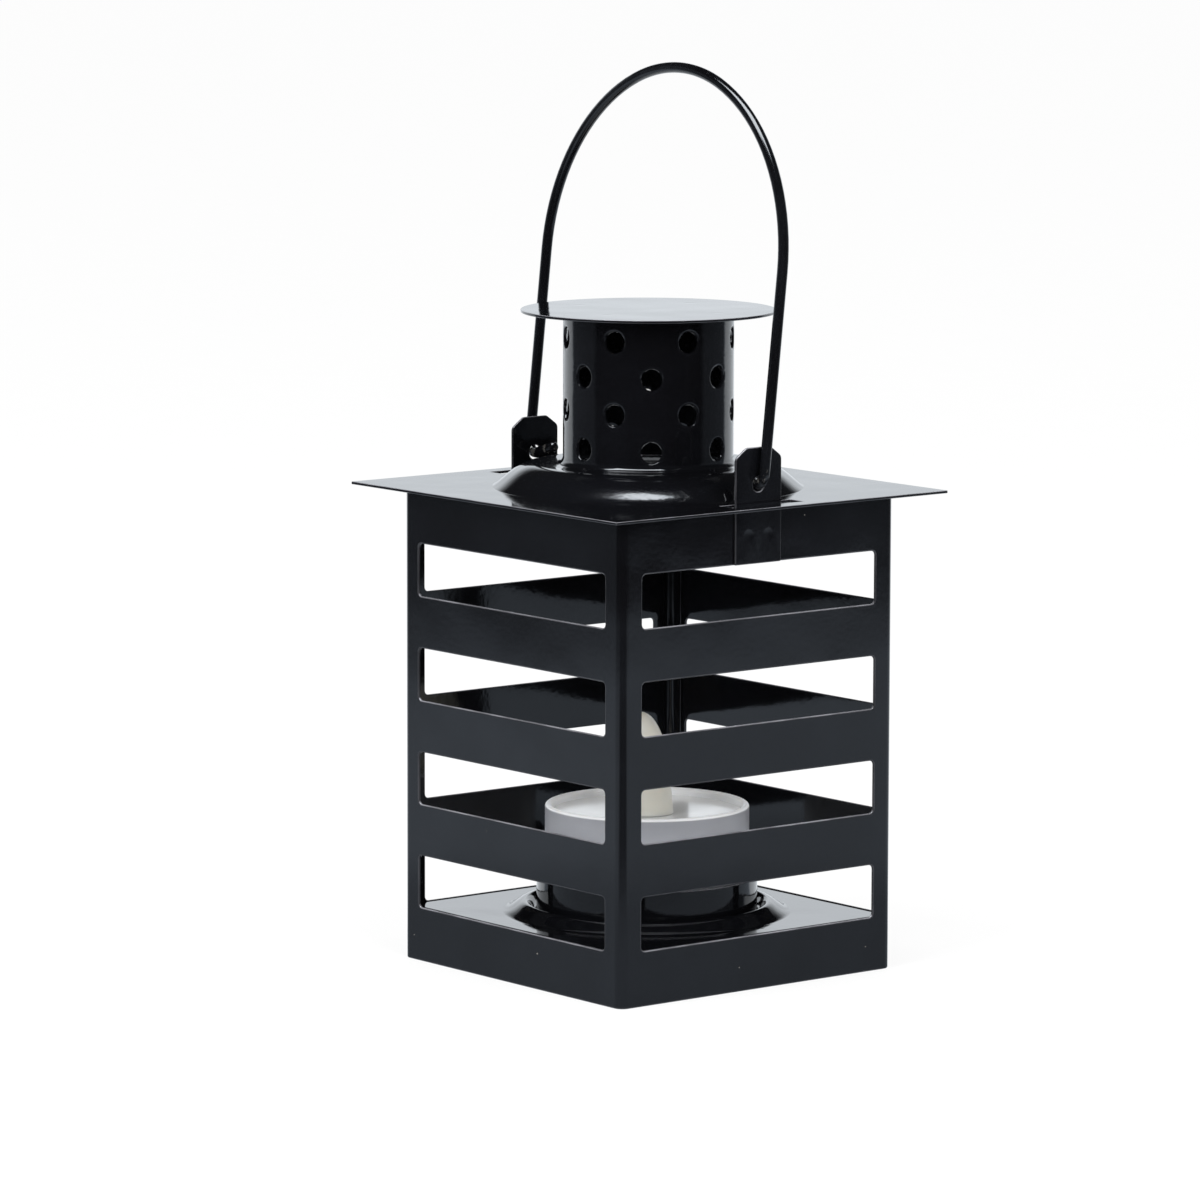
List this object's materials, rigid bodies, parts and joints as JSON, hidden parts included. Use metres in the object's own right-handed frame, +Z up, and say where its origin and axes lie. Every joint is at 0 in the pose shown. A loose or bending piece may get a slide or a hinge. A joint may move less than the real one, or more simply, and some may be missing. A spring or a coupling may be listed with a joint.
{
  "type": "candle lantern",
  "caption": "Square sheet-metal candle lantern with slatted sides, a flat roof, a perforated chimney with a flat cap and a wire bail, holding a battery tealight.",
  "frame": {"origin": "centre of the body's bottom rim, on the surface the lantern stands on", "axes": "+Z up; X parallel to the bail's hinge axis, which lies 1 mm in front of the middle; Y square to it"},
  "size_m": [0.075, 0.075, 0.1605],
  "materials": {
    "black_enamel": "gloss black enamel on sheet steel",
    "wire_enamel": "gloss black enamel on wire",
    "shell_plastic": "milky plastic, satin",
    "dish_plastic": "white plastic, gloss",
    "flame_plastic": "cream plastic, frosted",
    "lamp_resin": "clear lamp resin",
    "cell_steel": "brushed steel can",
    "contact_brass": "plain brass strip",
    "plated_steel": "plated steel",
    "knob_plastic": "dark plastic"
  },
  "bodies": {
    "housing": {"body_shell": "black_enamel", "base_plate": "black_enamel", "candle_cup": "black_enamel", "ear_left": "black_enamel", "ear_right": "black_enamel"},
    "lid": {"roof_plate": "black_enamel", "chimney": "black_enamel", "chimney_cap": "black_enamel"},
    "bail": {"bail": "wire_enamel"},
    "tealight": {"tealight_cup": "shell_plastic", "tealight_top": "dish_plastic", "flame": "flame_plastic", "led": "lamp_resin", "led_legs": "plated_steel", "coin_cell": "cell_steel", "contact_plate": "contact_brass", "contact_spring": "contact_brass", "tealight_base": "shell_plastic", "battery_door": "dish_plastic", "door_screw": "plated_steel"},
    "switch": {"switch_knob": "knob_plastic"}
  },
  "joints": [
    {"name": "bail_swing", "type": "hinge", "parent": "housing", "child": "bail", "pos_m": [0, -0.001, 0.089], "axis": [1, 0, 0], "range_deg": [-85, 97]},
    {"name": "lid_lift", "type": "slide", "parent": "housing", "child": "lid", "axis": [0, 0, 1], "range_m": [0, 0.0008]},
    {"name": "tealight_lift", "type": "slide", "parent": "housing", "child": "tealight", "axis": [0, 0, 1], "range_m": [0, 0.05]},
    {"name": "switch_slide", "type": "slide", "parent": "tealight", "child": "switch", "axis": [1, 0, 0], "range_m": [0, 0.002]}
  ]
}
